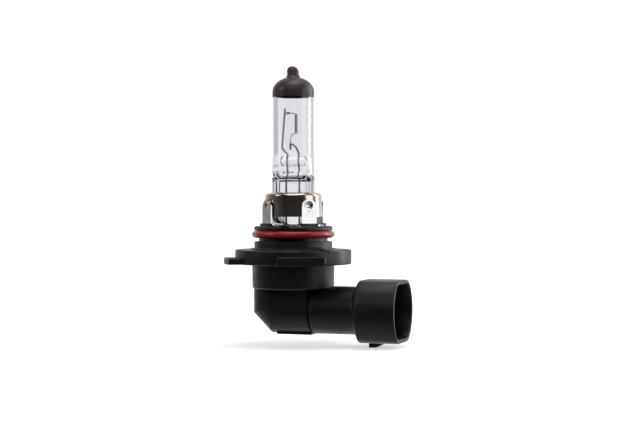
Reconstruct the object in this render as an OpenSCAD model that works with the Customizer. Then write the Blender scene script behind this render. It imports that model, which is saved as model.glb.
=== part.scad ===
// Single filament headlight capsule on a bayonet cap with an elbow and a plug socket.
// Origin: lamp axis, upper (reflector) face of the bayonet flange. +Z runs up the
// glass to its tip, +X runs out of the plug socket.

/* [Glass capsule] */
// Outside radius of the glass tube
glass_r = 5.9; // [5.6:0.1:6.2]
// Wall of the glass tube
glass_wall = 1.0; // [0.8:0.1:1.2]
// Height at which the tube starts to close into its dome
dome_z = 45; // [44:0.5:46]
// Height of the very tip
tip_z = 52.3; // [51.8:0.1:53]
// Lower edge of the black top coating
coat_z = 43.5; // [42:0.5:44.5]
// Lowest point of the round part of the tube
tube_bottom_z = 19.6; // [19:0.2:20.5]
// Width of the flat pinch
pinch_w = 12; // [11.6:0.1:12.4]
// Thickness of the pinch at its two edge ribs
pinch_t = 3.8; // [3.4:0.1:4.2]
// Lower end of the pinch
pinch_z = 7.4; // [7:0.1:8]

/* [Filament and leads] */
// Height of the middle of the filament coil
coil_z = 35.9; // [35:0.1:37]
// Length of the coil
coil_len = 5.6; // [5:0.1:6]
// Turns of the coil
coil_turns = 11; // [9:1:12]
// Distance of the coil from the lamp axis
coil_x = 0.85; // [0.6:0.05:1]
// Diameter of the molybdenum lead wires
lead_d = 0.6; // [0.5:0.05:0.7]
// Half the distance between the lead wires in the pinch
lead_x = 2; // [1.8:0.1:2.2]
// Height of the middle of the glass bridge bar
bridge_z = 25.2; // [24.8:0.1:25.6]
// Length of the glass bridge bar
bridge_len = 7.5; // [7:0.1:7.8]
// Diameter of the glass bridge bar
bridge_d = 2.8; // [2.6:0.1:3]

/* [Steel collar] */
// Thickness of the pressed steel
steel_t = 0.4; // [0.3:0.05:0.45]
// Top of the collar cup
cup_top_z = 16.3; // [16:0.1:16.6]
// Bottom edge of the collar cup
cup_bottom_z = 9.4; // [9.2:0.1:9.8]
// Radius of the cup at its bottom edge
cup_r = 8.4; // [8.3:0.05:8.5]
// Radius of the cup at its shoulder
cup_shoulder_r = 8.1; // [8:0.05:8.2]
// Top of the four welded legs
leg_top_z = 14.3; // [14:0.1:14.6]
// Width of a leg
leg_w = 4.8; // [4.4:0.1:5]

/* [Cap] */
// Radius of the round bayonet flange
flange_r = 16.6; // [16:0.1:17]
// Thickness of the flange
flange_t = 4.15; // [3.9:0.05:4.4]
// Radius to the ends of the two thin lugs
lug_r = 19.8; // [19:0.1:20.2]
// Thickness of the thin lugs
lug_t = 1.85; // [1.6:0.05:2]
// Radius of the spigot below the seal
spigot_r = 11.15; // [11:0.05:11.4]
// Height of the pilot disc's top face
disc_z = 6.7; // [6.5:0.1:6.9]
// Radius of the seal's groove
groove_r = 9.8; // [9.6:0.05:9.9]
// Section diameter of the sealing ring
seal_d = 2.05; // [1.9:0.05:2.1]
// Radius of the round barrel below the flange
barrel_r = 11.7; // [11.4:0.1:12]
// Lower edge of the barrel
barrel_z = -11.1; // [-11.4:0.1:-10.8]

/* [Elbow and socket] */
// Height of the elbow's and tube's axis
arm_z = -17.05; // [-17.3:0.05:-16.9]
// Radius of the arm's tube
arm_r = 6.8; // [6.7:0.05:6.9]
// Half the depth of the elbow cover
cover_r = 6.75; // [6.7:0.05:6.8]
// Wall of the elbow cover
cover_wall = 1.1; // [1:0.1:1.2]
// Where the elbow cover ends along the arm
cover_end_x = 6.3; // [6:0.1:6.6]
// Where the socket starts to widen
socket_x = 19.6; // [19.4:0.1:19.8]
// Plug opening of the socket
mouth_x = 32.6; // [32:0.2:33]
// Outside width of the socket
socket_w = 20.8; // [20.6:0.1:21]
// Outside height of the socket
socket_h = 17.6; // [17.4:0.1:17.8]
// Wall of the socket shroud
shroud_wall = 1.2; // [1:0.1:1.4]
// Width of a contact blade
blade_h = 2.8; // [2.6:0.1:3]
// Thickness of a contact blade
blade_t = 0.8; // [0.6:0.1:0.8]
// Half the distance between the contact blades
blade_y = 3.8; // [3.7:0.05:3.85]

/* [Hidden] */
$fn = 64;
eps = 0.01;

// glass
coat_t = 0.1;
dome_h = 4.2;
nipple_r = 2.1;
nipple_tip_r = 1.3;
cavity_bottom_z = tube_bottom_z + 1.2;
rib_w = 1.7;
web_t = 2.4;

// filament wire
wire_d = 0.26;
coil_r = 0.53 - wire_d / 2;
coil_top_z = coil_z + coil_len / 2;
coil_bottom_z = coil_z - coil_len / 2;
steps_per_turn = 12;

// leads, from the filament down to the welds on the contacts
weld_z = -15;
bend_z = -4;
lead_y = blade_y - blade_t / 2 - lead_d / 2;
bridge_x = 1.7;
long_top = [-2.5, 0, coil_top_z + 1.6];
long_path = [long_top, [-3.4, 0, 29.4], [-3.35, 0, 28.7], [-1.8, 0, 27.1],
    [-bridge_x, 0, 26.7], [-bridge_x, 0, 23.5], [-lead_x, 0, 21.2], [-lead_x, 0, bend_z],
    [-lead_x, -lead_y, -9.5], [-lead_x, -lead_y, weld_z]];
short_path = [[-0.35, 0, 30], [0.75, 0, 29.3], [1.65, 0, 27.3], [bridge_x, 0, 26.7],
    [bridge_x, 0, 23.5], [lead_x, 0, 21.2], [lead_x, 0, bend_z],
    [lead_x, lead_y, -9.5], [lead_x, lead_y, weld_z]];
upper_tail_z = coil_top_z + 0.2;
lower_tail_x = -0.85;
sleeve_d = 1.6;
sleeve_top_z = 7.3;
lead_sides = 12;
lead_hole_d = 2;

// cap
leg_angles = [50, 140, 230, 320];
cup_shoulder_w = 2;
cup_shoulder_h = 1;
clip_r = 6.2;
clip_h = 4;
foot_w = 3;
foot_flare = 1.2;
dimple_d = 2.2;
dimple_drop = 1.7;
ring_bore_r = 7;
boss_t = 0.6;
boss_h = 0.8;
lug_angles = [-152, 68];
front_lug_angle = -63;
hump_angle = -48;
hump_w = 13;
hump_h = 1.1;
notch_angle = -84;
notch_w = 2.4;
notch_depth = 0.5;
lug_root_r = 13;
lug_w = 11;
lug_z = 0.15 - flange_t;
bar_w = 13.5;
bar_t = 2.5;
bar_face_r = 17.3;
barrel_bore_r = 8.8;
barrel_floor = 1.2;
plinth_r = 12.2;
plinth_h = 0.4;
seal_z = 4.35;
seal_r = groove_r + seal_d / 2;
spigot_top_z = 2.3;
disc_r = 11.2;
groove_top_z = 5.5;
recess_r = 5;
recess_z = 1.5;
leg_in_r = cup_r + 0.05;
leg_r = leg_in_r + steel_t;
ring_r = leg_in_r + steel_t / 2;
leg_foot_z = disc_z - 2.4;

// elbow
neck_r = cover_r - cover_wall;
neck_bore_r = 4.6;
window_r = 4;
back_x = -4.8;
mitre_z = arm_z + 1.64;
prism_reach = 30;
spigot_in_r = neck_r - 0.1;
seam_gap = 0.35;
pad_x = -4.2;
pad_w = 5;
pad_z = arm_z - cover_r - 0.3;
arm_bore_r = 5;
floor_x = 21.9;
bore_end_x = 18.2;
shroud_flat = 5.6;
cavity_w = socket_w - 2 * shroud_wall;
cavity_h = socket_h - 2 * shroud_wall;
flare_x = 20.3;
flare_r = 8.3;
wedge_x = 23.2;
wedge_toe = 2;
wedge_end_x = 27.6;
wedge_w = 5;
wedge_z = -27.2;
blade_end_x = 27.5;

function unit(v) = v / norm(v);
function arc(cx, cy, rx, ry, a0, a1, n) =
    [for (i = [0:n]) let (a = a0 + (a1 - a0) * i / n) [cx + rx * cos(a), cy + ry * sin(a)]];
function tangent(path, i) =
    unit(path[min(i + 1, len(path) - 1)] - path[max(i - 1, 0)]);

// A wire swept along a path, its rings mitred at the bends.
module wire(path, d, sides) {
    n = len(path);
    first = unit(cross(tangent(path, 0), [0, 1, 0]));
    turned = [for (i = 0, s = first; i < n; i = i + 1,
        s = i < n ? let (t = tangent(path, i), w = s - (s * t) * t) unit(w) : s) s];
    rings = [for (i = [0:n - 1]) let (t = tangent(path, i), s = turned[i], c = cross(t, s))
        for (k = [0:sides - 1]) let (a = 360 * k / sides)
            path[i] + d / 2 * (cos(a) * s + sin(a) * c)];
    sidewalls = [for (i = [0:n - 2]) for (k = [0:sides - 1]) let (j = (k + 1) % sides)
        [i * sides + k, i * sides + j, (i + 1) * sides + j, (i + 1) * sides + k]];
    start_cap = [[for (k = [sides - 1:-1:0]) k]];
    end_cap = [[for (k = [0:sides - 1]) (n - 1) * sides + k]];
    polyhedron(points = rings, faces = concat(start_cap, sidewalls, end_cap));
}

// Straight holes for the two leads, at x and -x from z up by h.
module lead_holes(x, z, h, d) {
    for (side = [-1, 1]) translate([side * x, 0, z]) cylinder(h = h, d = d, $fn = 32);
}

// Half outline of the closed capsule, "grow" larger all round than the glass.
module capsule_outline(grow = 0) {
    r = glass_r + grow;
    neck_a = acos(nipple_r / glass_r);
    polygon(concat(
        [[0, tube_bottom_z - grow]],
        arc(r - 3, tube_bottom_z + 3, 3, 3 + grow, -90, 0, 8),
        arc(0, dome_z, r, dome_h + grow, 0, neck_a, 10),
        arc(0, tip_z - nipple_tip_r, nipple_tip_r + 0.25 + grow, nipple_tip_r + grow, 0, 90, 6)));
}

// Half outline of the gas space inside the glass.
module cavity_outline() {
    r = glass_r - glass_wall;
    polygon(concat(
        [[0, cavity_bottom_z]],
        arc(r - 2.4, cavity_bottom_z + 1.6, 2.4, 1.6, -90, 0, 6),
        arc(0, dome_z, r, dome_h - 1, 0, 90, 10)));
}

module glass_envelope() color([0.86, 0.9, 0.95, 0.45]) difference() {
    union() {
        rotate_extrude() capsule_outline();
        pinch();
    }
    rotate_extrude() cavity_outline();
    lead_holes(lead_x, pinch_z - 1, cavity_bottom_z - pinch_z + 2, lead_d);
}

// Flat pressed foot of the glass: a web between two thicker ribs.
module pinch() {
    foot_r = 2;
    rotate([90, 0, 0]) {
        translate([0, 0, -web_t / 2]) linear_extrude(web_t) pinch_outline(foot_r);
        translate([0, 0, -pinch_t / 2]) linear_extrude(pinch_t) intersection() {
            pinch_outline(foot_r);
            for (side = [-1, 1]) translate([side * (pinch_w - rib_w) / 2, 15])
                square([rib_w, 30], center = true);
        }
    }
}

module pinch_outline(foot_r) {
    top_z = tube_bottom_z + 1;
    translate([-pinch_w / 2, pinch_z + foot_r]) square([pinch_w, top_z - pinch_z - foot_r]);
    translate([-pinch_w / 2 + foot_r, pinch_z]) square([pinch_w - 2 * foot_r, foot_r + eps]);
    for (side = [-1, 1]) translate([side * (pinch_w / 2 - foot_r), pinch_z + foot_r])
        circle(foot_r);
}

module black_top_coating() color([0.17, 0.14, 0.14]) difference() {
    rotate_extrude() capsule_outline(coat_t);
    rotate_extrude() capsule_outline();
    translate([0, 0, -1]) cylinder(h = coat_z + 1, r = glass_r + 1);
}

module filament() color([0.45, 0.45, 0.47]) {
    turns = coil_turns;
    steps = turns * steps_per_turn;
    upper_tail = [[long_top[0] + 0.1, 0, upper_tail_z], [-1.2, 0, upper_tail_z],
        [0, 0, upper_tail_z], [coil_x - coil_r, 0, upper_tail_z - 0.05]];
    coil = [for (i = [1:steps]) let (a = 180 - 360 * i / steps_per_turn)
        [coil_x + coil_r * cos(a), coil_r * sin(a), coil_top_z - coil_len * i / steps]];
    lower_tail = [[0, 0, coil_bottom_z - 0.25], [-0.5, 0, coil_bottom_z - 0.35],
        [-0.62, 0, coil_bottom_z - 0.6], [lower_tail_x, 0, 30.6], [lower_tail_x, 0, 28.2]];
    wire(concat(upper_tail, coil, lower_tail), wire_d, 6);
}

module upper_tail_sleeve() color([0.7, 0.7, 0.72]) difference() {
    translate([long_top[0] + 0.35, 0, upper_tail_z]) rotate([0, 90, 0])
        cylinder(h = 1.1, d = 0.8, $fn = 24);
    translate([long_top[0] - 1, 0, upper_tail_z]) rotate([0, 90, 0])
        cylinder(h = 5, d = wire_d + 0.02, $fn = 24);
}

module lower_tail_sleeve() color([0.7, 0.7, 0.72]) difference() {
    translate([lower_tail_x, 0, 28.5]) cylinder(h = 1.8, d = 0.75, $fn = 24);
    translate([lower_tail_x, 0, 27]) cylinder(h = 5, d = wire_d + 0.02, $fn = 24);
}

module long_lead() color([0.62, 0.62, 0.65]) wire(long_path, lead_d, lead_sides);

module short_lead() color([0.62, 0.62, 0.65]) wire(short_path, lead_d, lead_sides);

module glass_bridge() color([0.9, 0.93, 0.97, 0.6]) difference() {
    end_r = 0.6;
    translate([0, 0, bridge_z]) rotate([0, 90, 0]) rotate_extrude() {
        translate([0, -bridge_len / 2]) square([bridge_d / 2 - end_r, bridge_len]);
        translate([0, -bridge_len / 2 + end_r])
            square([bridge_d / 2, bridge_len - 2 * end_r]);
        for (side = [-1, 1])
            translate([bridge_d / 2 - end_r, side * (bridge_len / 2 - end_r)]) circle(end_r);
    }
    lead_holes(bridge_x, bridge_z - bridge_d, 2 * bridge_d, lead_d);
}

// Outer half profile of the collar cup, shrunk by "inset" for its inside.
module cup_outline(inset) {
    foot_z = inset > 0 ? cup_bottom_z - 1 : cup_bottom_z;
    polygon(concat(
        [[0, foot_z], [cup_r - inset, foot_z], [cup_r - inset, cup_bottom_z]],
        arc(cup_shoulder_r - cup_shoulder_w, cup_top_z - cup_shoulder_h,
            cup_shoulder_w - inset, cup_shoulder_h - inset, 0, 90, 8),
        [[0, cup_top_z - inset]]));
}

module collar_cup() color([0.78, 0.78, 0.8]) difference() {
    rotate_extrude() cup_outline(0);
    rotate_extrude() cup_outline(steel_t);
    translate([0, 0, cup_top_z]) cube([pinch_w + 0.3, pinch_t + 0.3, 4], center = true);
}

// Flanged sleeve that grips the pinch under the collar cup.
module pinch_clip() color([0.72, 0.72, 0.74]) {
    top_z = cup_top_z - steel_t - 0.02;
    sleeve_top_z = top_z - 0.2;
    inner = [pinch_w + 0.1, pinch_t + 0.1];
    difference() {
        union() {
            translate([0, 0, top_z - steel_t]) cylinder(h = steel_t, r = clip_r);
            translate([-inner[0] / 2 - steel_t, -inner[1] / 2 - steel_t, sleeve_top_z - clip_h])
                cube([inner[0] + 2 * steel_t, inner[1] + 2 * steel_t, clip_h]);
        }
        translate([0, 0, sleeve_top_z - clip_h / 2])
            cube([inner[0], inner[1], clip_h + 2], center = true);
    }
}

// Stamped ring with four flat, round ended legs, welded to the cup and moulded into the cap.
module mounting_ring() color([0.75, 0.76, 0.78]) difference() {
    union() {
        translate([0, 0, disc_z]) difference() {
            cylinder(h = steel_t, r = ring_r);
            translate([0, 0, -1]) cylinder(h = steel_t + 2, r = ring_bore_r);
        }
        for (a = leg_angles) rotate([0, 0, a]) {
            translate([leg_in_r, 0, 0]) rotate([90, 0, 90]) linear_extrude(steel_t) leg_outline();
            leg_tang();
        }
    }
    for (a = leg_angles) rotate([0, 0, a])
        translate([leg_r + dimple_d / 2 - 0.3, 0, leg_top_z - dimple_drop]) sphere(d = dimple_d);
}

// A leg seen from outside: flared at its foot and half round at its top.
module leg_outline() {
    half = leg_w / 2;
    foot_z = disc_z + foot_flare;
    polygon(concat(
        [[-half - foot_flare, disc_z]],
        arc(-half - foot_flare, foot_z, foot_flare, foot_flare, -90, 0, 6),
        arc(0, leg_top_z - half, half, half, 180, 0, 16),
        arc(half + foot_flare, foot_z, foot_flare, foot_flare, 180, 270, 6)));
}

// The tang under a leg that is moulded into the cap.
module leg_tang() {
    translate([leg_in_r, -foot_w / 2, leg_foot_z])
        cube([steel_t, foot_w, disc_z - leg_foot_z + steel_t / 2]);
}

module housing() color([0.11, 0.11, 0.12]) difference() {
    union() {
        rotate_extrude() cap_outline();
        lugs();
        flange_hump();
        for (a = leg_angles) rotate([0, 0, a]) leg_boss();
        neck();
        socket();
    }
    rotate([0, 0, notch_angle])
        translate([disc_r - notch_depth - 0.15, -notch_w / 2, groove_top_z - 0.1])
            cube([2, notch_w, 3]);
    translate([0, 0, recess_z]) cylinder(h = 10, r = recess_r);
    for (side = [-1, 1]) translate([side * lead_x, 0, -2])
        cylinder(h = 5, d = lead_hole_d, $fn = 32);
    translate([0, 0, barrel_z + barrel_floor])
        cylinder(h = -barrel_z - barrel_floor - 1, r = barrel_bore_r);
    neck_cavity();
    translate([cover_end_x - 8, 0, arm_z]) rotate([0, 90, 0])
        cylinder(h = bore_end_x - cover_end_x + 8, r = arm_bore_r);
    for (side = [-1, 1]) translate([15, side * blade_y, arm_z])
        cube([15, blade_t, blade_h], center = true);
    for (a = leg_angles) rotate([0, 0, a]) leg_tang();
    socket_cavity();
}

module cap_outline() {
    edge = 0.3;
    polygon([[0, disc_z], [disc_r - edge, disc_z], [disc_r, disc_z - edge],
        [disc_r, groove_top_z], [groove_r, groove_top_z], [groove_r, spigot_top_z],
        [spigot_r, spigot_top_z], [spigot_r, plinth_h], [plinth_r, plinth_h], [plinth_r, 0],
        [flange_r - edge, 0], [flange_r, -edge], [flange_r, edge - flange_t],
        [flange_r - edge, -flange_t], [barrel_r, -flange_t], [barrel_r, barrel_z + edge],
        [barrel_r - edge, barrel_z], [0, barrel_z]]);
}

module lugs() {
    for (a = lug_angles) rotate([0, 0, a]) intersection() {
        translate([lug_root_r, -lug_w / 2, lug_z]) cube([12, lug_w, lug_t]);
        translate([0, 0, lug_z - 1]) cylinder(h = lug_t + 2, r = lug_r);
    }
    rotate([0, 0, front_lug_angle]) translate([lug_root_r, -bar_w / 2, lug_z])
        cube([bar_face_r - lug_root_r, bar_w, bar_t]);
}

// Low ramp on the flange's upper face that stops the cap's twist.
module flange_hump() {
    rotate([0, 0, hump_angle]) translate([plinth_r - 0.2, 0, -0.5]) rotate([90, 0, 90])
        linear_extrude(flange_r - plinth_r - 0.3)
            polygon(concat([[-hump_w / 2, 0]], arc(0, 0.5, hump_w / 3, hump_h, 180, 0, 10),
                [[hump_w / 2, 0]]));
}

// Raised foot that each leg stands in.
module leg_boss() {
    translate([leg_r + eps, -leg_w / 2 - 0.4, disc_z - eps]) cube([boss_t, leg_w + 0.8, boss_h]);
}

// Plan of the elbow: round at the back, straight along the arm.
module elbow_plan(r, end_x) {
    translate([back_x, 0]) circle(r);
    translate([back_x, -r]) square([end_x - back_x, 2 * r]);
}

// Cross section of the elbow: round on one side, square and "reach" deep on the other.
module elbow_section(r, reach) {
    circle(r);
    translate([-r, 0]) square([2 * r, reach]);
}

// Elbow block of half depth r, between the barrel and the arm, with a mitred heel.
module elbow_block(r, end_x, top_z) {
    intersection() {
        translate([0, 0, -2 * prism_reach]) linear_extrude(2 * prism_reach + top_z)
            elbow_plan(r, end_x);
        translate([-prism_reach, 0, arm_z]) rotate([90, 0, 90])
            linear_extrude(prism_reach + end_x) elbow_section(r, top_z - arm_z);
        translate([back_x, 0, mitre_z]) rotate([0, 45, 0]) translate([-prism_reach, 0, 0])
            rotate([90, 0, 90]) linear_extrude(2 * prism_reach) elbow_section(r, prism_reach);
    }
}

module neck() {
    elbow_block(neck_r, cover_end_x - 0.5, barrel_z + 1);
}

module neck_cavity() {
    elbow_block(neck_bore_r, cover_end_x - 1, barrel_z + barrel_floor + 1);
    translate([back_x - cover_r, -window_r, arm_z - window_r])
        cube([cover_r + 1.3, 2 * window_r, 2 * window_r]);
}

module elbow_cover() color([0.12, 0.12, 0.13]) difference() {
    union() {
        elbow_block(cover_r, cover_end_x, barrel_z - 0.02);
        translate([pad_x, -pad_w / 2, pad_z]) cube([cover_end_x - pad_x, pad_w, 1.5]);
    }
    elbow_block(neck_r + 0.03, cover_end_x - 0.45, barrel_z + 1);
    translate([cover_end_x - 3, 0, arm_z]) rotate([0, 90, 0])
        cylinder(h = 6, r = spigot_in_r + 0.02);
}

// Outline of the socket: flat top and bottom, bulged sides.
module socket_outline(w, h) {
    bulge_r = (pow(w / 2 - shroud_flat, 2) + h * h / 4) / (w - 2 * shroud_flat);
    intersection() {
        square([w, h], center = true);
        translate([w / 2 - bulge_r, 0]) circle(bulge_r);
        translate([bulge_r - w / 2, 0]) circle(bulge_r);
    }
}

module socket() {
    seam_x = cover_end_x + seam_gap;
    translate([0, 0, arm_z]) rotate([0, 90, 0]) rotate_extrude()
        polygon([[0, cover_end_x - 2], [spigot_in_r, cover_end_x - 2], [spigot_in_r, seam_x],
            [arm_r, seam_x], [arm_r, socket_x], [flare_r, flare_x], [flare_r, flare_x + 1],
            [0, flare_x + 1]]);
    translate([flare_x, 0, arm_z]) rotate([90, 0, 90])
        linear_extrude(mouth_x - flare_x) socket_outline(socket_w, socket_h);
    root_z = arm_z - socket_h / 2;
    translate([0, wedge_w / 2, 0]) rotate([90, 0, 0]) linear_extrude(wedge_w)
        polygon([[wedge_x, root_z + 1], [wedge_x, wedge_z], [wedge_x + wedge_toe, wedge_z],
            [wedge_end_x, root_z], [wedge_end_x, root_z + 1]]);
}

module socket_cavity() {
    translate([floor_x, 0, arm_z]) rotate([90, 0, 90]) linear_extrude(20)
        socket_outline(cavity_w, cavity_h);
}

module o_ring() color([0.75, 0.08, 0.08]) translate([0, 0, seal_z])
    rotate_extrude() translate([seal_r, 0]) circle(d = seal_d, $fn = 48);

module terminal_block() color([0.2, 0.2, 0.21]) difference() {
    translate([8, 0, arm_z]) rotate([0, 90, 0]) cylinder(h = 8, r = arm_bore_r - 0.02);
    for (side = [-1, 1]) translate([12, side * blade_y, arm_z])
        cube([20, blade_t, blade_h], center = true);
}

// Stamped contact: a blade in the socket, a strip along the arm and a weld tab.
module terminal(tab_x) {
    half = blade_h / 2;
    rotate([90, 0, 0]) linear_extrude(blade_t, center = true)
        polygon([[tab_x - 1.4, arm_z - half], [blade_end_x - 1.2, arm_z - half],
            [blade_end_x, arm_z - half + 0.7], [blade_end_x, arm_z + half - 0.7],
            [blade_end_x - 1.2, arm_z + half], [tab_x + 1.4, arm_z + half],
            [tab_x + 1.4, -12.6], [tab_x - 1.4, -12.6]]);
}

module terminal_positive() color([0.78, 0.72, 0.5])
    translate([0, blade_y, 0]) terminal(lead_x);

module terminal_negative() color([0.78, 0.72, 0.5])
    translate([0, -blade_y, 0]) terminal(-lead_x);

module lead_sleeve(side) color([0.88, 0.87, 0.82]) difference() {
    translate([side * lead_x, 0, bend_z]) cylinder(h = sleeve_top_z - bend_z, d = sleeve_d);
    translate([side * lead_x, 0, bend_z - 1])
        cylinder(h = sleeve_top_z - bend_z + 2, d = lead_d + 0.02);
}

module lead_sleeve_left() lead_sleeve(-1);

module lead_sleeve_right() lead_sleeve(1);

module sealing_compound() color([0.55, 0.5, 0.42]) difference() {
    translate([0, 0, recess_z]) cylinder(h = disc_z - recess_z - 0.02, r = recess_r - 0.01);
    for (side = [-1, 1]) translate([side * lead_x, 0, 0])
        cylinder(h = 10, d = sleeve_d + 0.02, $fn = 32);
}

glass_envelope();
black_top_coating();
filament();
upper_tail_sleeve();
lower_tail_sleeve();
long_lead();
short_lead();
glass_bridge();
pinch_clip();
collar_cup();
mounting_ring();
housing();
elbow_cover();
o_ring();
terminal_block();
terminal_positive();
terminal_negative();
lead_sleeve_left();
lead_sleeve_right();
sealing_compound();
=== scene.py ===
"""Looks of a headlight capsule on a bayonet cap with an elbow and a plug socket.

Every class builds one sub-assembly in millimetres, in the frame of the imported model: the
origin on the lamp axis at the flange's upper face, +Z up to the glass tip and +X out of the
plug socket. Meshes are scaled to metres as they are finished.
"""

import logging
import math
from dataclasses import dataclass
from enum import Enum
from typing import Callable, Iterable, Sequence

import bmesh
import bpy
from mathutils import Matrix, Vector


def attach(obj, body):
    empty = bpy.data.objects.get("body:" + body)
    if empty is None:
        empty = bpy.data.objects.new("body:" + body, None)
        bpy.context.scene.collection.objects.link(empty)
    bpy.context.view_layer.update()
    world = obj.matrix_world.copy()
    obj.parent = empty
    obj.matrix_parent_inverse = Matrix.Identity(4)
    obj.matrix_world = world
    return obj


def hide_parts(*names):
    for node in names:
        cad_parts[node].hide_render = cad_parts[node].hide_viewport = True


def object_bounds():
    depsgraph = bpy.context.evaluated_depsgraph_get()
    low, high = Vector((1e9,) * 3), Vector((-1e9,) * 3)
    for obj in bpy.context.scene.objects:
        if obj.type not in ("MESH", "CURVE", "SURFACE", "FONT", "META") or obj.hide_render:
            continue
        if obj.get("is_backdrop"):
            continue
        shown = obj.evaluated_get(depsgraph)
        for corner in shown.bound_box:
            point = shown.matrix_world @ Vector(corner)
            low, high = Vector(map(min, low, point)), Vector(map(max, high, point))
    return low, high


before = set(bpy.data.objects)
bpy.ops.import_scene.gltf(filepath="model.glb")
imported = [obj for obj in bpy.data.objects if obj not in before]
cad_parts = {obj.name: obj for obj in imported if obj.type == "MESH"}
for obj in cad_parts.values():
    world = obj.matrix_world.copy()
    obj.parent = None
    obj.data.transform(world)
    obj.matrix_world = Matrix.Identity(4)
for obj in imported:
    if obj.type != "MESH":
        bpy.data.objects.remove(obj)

MM = 0.001
BODY = "root"
AXIS_X = Vector((1, 0, 0))
AXIS_Z = Vector((0, 0, 1))
log = logging.getLogger("headlight_bulb")

Ring = list[Vector]
Corner = tuple[float, float, float]


# --------------------------------------------------------------------------- outlines


def smooth(t: float) -> float:
    """Returns t eased from 0 to 1 with flat ends."""
    t = max(0.0, min(1.0, t))
    return t * t * (3 - 2 * t)


def mix(a: float, b: float, t: float) -> float:
    """Returns the value a share t of the way from a to b."""
    return a + (b - a) * t


def rounded_path(points: Sequence[Sequence[float]], radii: Sequence[float],
                 steps: int = 5, closed: bool = False) -> Ring:
    """Rounds the corners of a path.

    Args:
        points: The corners, in two or three dimensions.
        radii: How far from each corner its curve starts.
        steps: Stretches in each curve.
        closed: Whether the last point joins the first.

    Returns:
        The points of the rounded path.
    """
    corners = [Vector((*p, 0.0)) if len(p) == 2 else Vector(p) for p in points]
    count = len(corners)
    path: Ring = []
    for i, corner in enumerate(corners):
        at_end = not closed and i in (0, count - 1)
        before = corners[i - 1] - corner
        after = corners[(i + 1) % count] - corner
        reach = 0.0 if at_end else min(radii[i], before.length * 0.48, after.length * 0.48)
        if reach < 1e-4:
            path.append(corner)
            continue
        start = corner + before.normalized() * reach
        end = corner + after.normalized() * reach
        for k in range(steps + 1):
            t = k / steps
            path.append(start * (1 - t) ** 2 + corner * 2 * t * (1 - t) + end * t ** 2)
    return path


def rounded_profile(corners: Sequence[Corner], steps: int = 5, closed: bool = True) -> Ring:
    """Rounds a profile given as corners (radius, height, rounding).

    Args:
        corners: Each corner's distance from the axis, its height and its rounding.
        steps: Stretches in each rounding.
        closed: Whether the profile is a closed loop.

    Returns:
        The profile's points in the XZ plane.
    """
    flat = rounded_path([(r, z) for r, z, _ in corners], [c[2] for c in corners], steps, closed)
    return [Vector((p.x, 0.0, p.y)) for p in flat]


def super_ring(rx: float, ry: float, power: float, count: int, height: float = 0.0) -> Ring:
    """Makes a ring between an ellipse (power 2) and a rounded rectangle (higher powers).

    Args:
        rx: Half width along X.
        ry: Half width along Y.
        power: The curve's exponent.
        count: Number of points.
        height: The ring's height.

    Returns:
        The level ring.
    """
    ring: Ring = []
    for k in range(count):
        a = 2 * math.pi * k / count
        c, s = math.cos(a), math.sin(a)
        x = rx * math.copysign(abs(c) ** (2 / power), c)
        y = ry * math.copysign(abs(s) ** (2 / power), s)
        ring.append(Vector((x, y, height)))
    return ring


# --------------------------------------------------------------------------- shapes


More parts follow.
